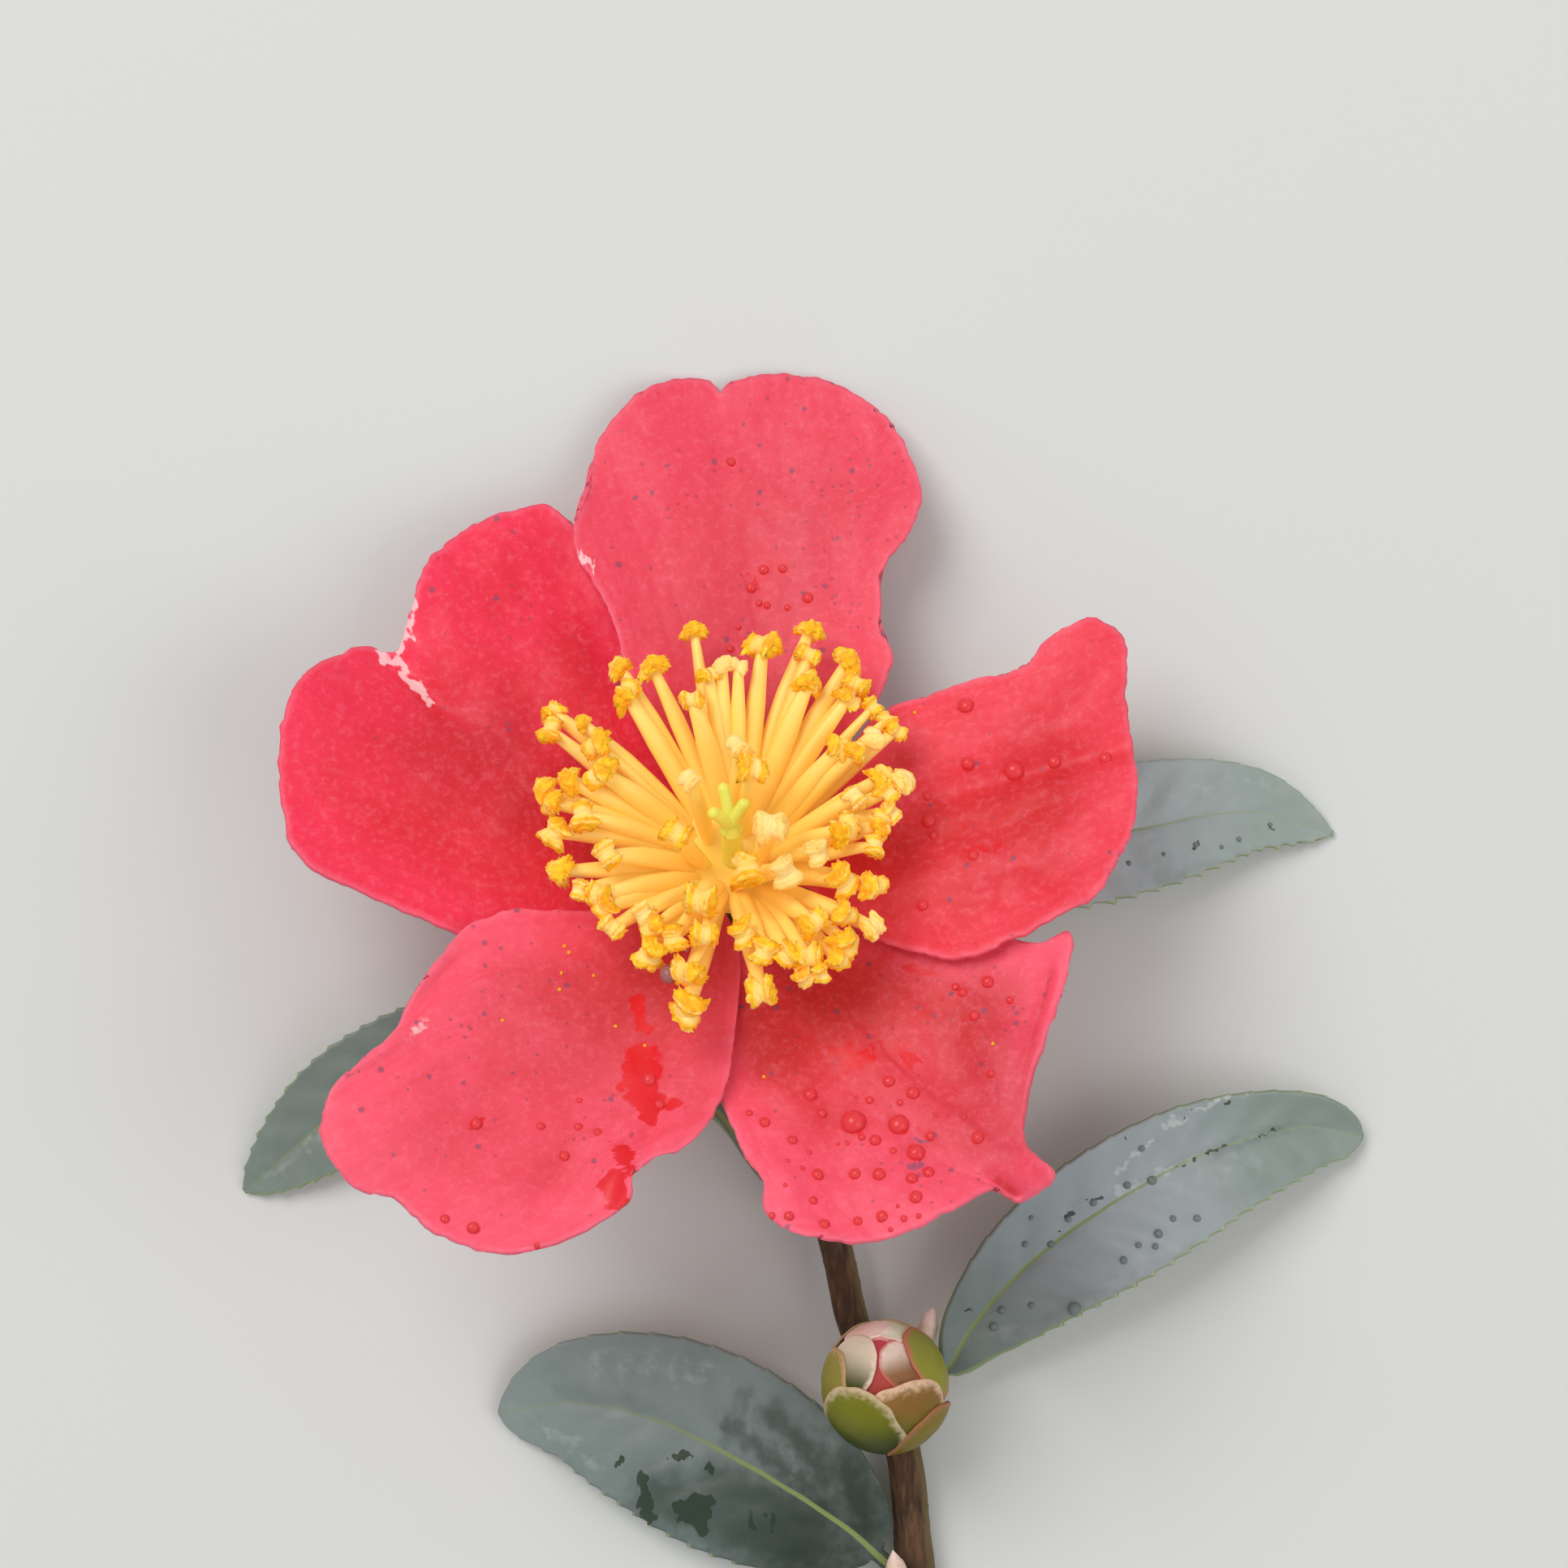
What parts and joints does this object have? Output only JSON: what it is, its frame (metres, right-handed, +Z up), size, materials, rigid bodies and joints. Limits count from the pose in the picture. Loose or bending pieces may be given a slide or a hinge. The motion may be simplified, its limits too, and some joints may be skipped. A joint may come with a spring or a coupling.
{
  "type": "cut flowering camellia sprig",
  "caption": "Cut sprig of a camellia lying on its back: woody stem with an open single bloom of red petals round yellow stamens, a round flower bud, leaf buds and glossy toothed leaves.",
  "frame": {"origin": "on the ground under the middle of the sprig's outline", "axes": "+Z up, out of the face of the bloom; +Y along the stem from its cut end towards the bloom; +X to the right of the bloom"},
  "size_m": [0.1002, 0.1194, 0.0354],
  "materials": {
    "bark": "matt brown bark with pale pores",
    "calyx": "silky green-brown sepals",
    "petal": "soft satin petal",
    "stamens": "waxy yellow filaments with grainy anthers",
    "pistil": "waxy pale green",
    "bud": "satin overlapping scales",
    "leaf_bud": "silky pale scales",
    "leaf": "leathery, semi-gloss, wet in places"
  },
  "bodies": {
    "root": {"stem": "bark", "calyx": "calyx", "petal_top": "petal", "petal_upper_left": "petal", "petal_lower_left": "petal", "petal_lower_right": "petal", "petal_right": "petal", "stamens": "stamens", "pistil": "pistil", "flower_bud": "bud", "leaf_bud_upper": "leaf_bud", "leaf_bud_lower": "leaf_bud", "leaf_lower_left": "leaf", "leaf_lower_right": "leaf", "leaf_right": "leaf", "leaf_left": "leaf"}
  },
  "joints": []
}
